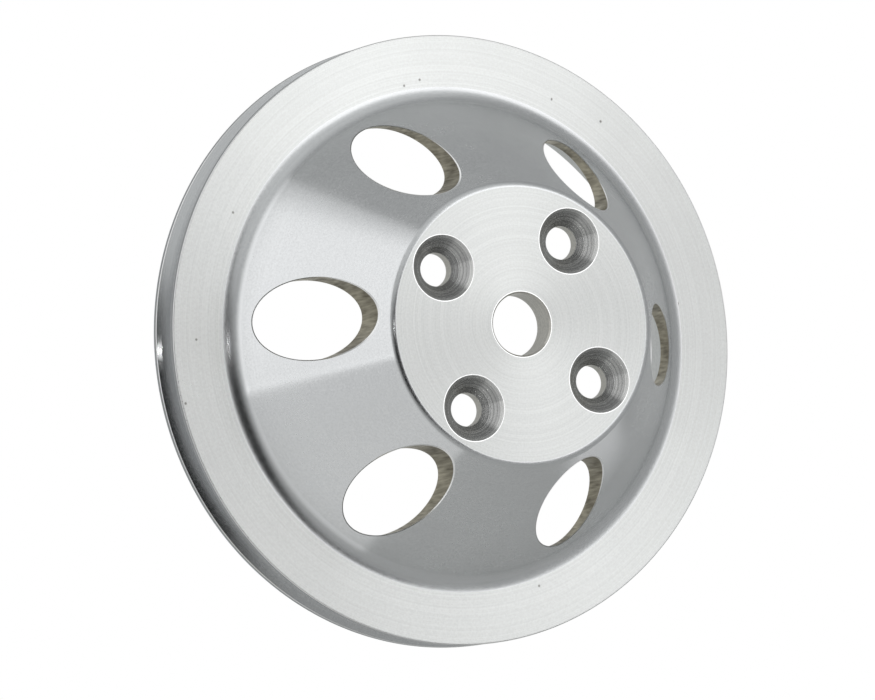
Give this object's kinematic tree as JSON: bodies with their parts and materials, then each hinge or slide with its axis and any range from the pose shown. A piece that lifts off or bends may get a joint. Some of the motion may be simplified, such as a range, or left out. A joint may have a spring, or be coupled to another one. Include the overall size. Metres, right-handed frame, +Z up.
{
  "type": "v-belt pulley",
  "caption": "Hollow cone-webbed pulley with a grooved rim for a V-belt, lightening holes, a pilot bore and countersunk bolt holes in its nose.",
  "frame": {"origin": "centre of the pilot bore in the plane of the hub plate's rear mounting face", "axes": "Y is the axis the pulley turns about, its nose points to -Y, and Z is up"},
  "size_m": [0.1588, 0.0526, 0.1588],
  "materials": {
    "turned_web": "satin, turned",
    "turned_rim": "satin, turned"
  },
  "bodies": {
    "root": {"hub_and_web": "turned_web", "grooved_rim": "turned_rim"}
  },
  "joints": []
}
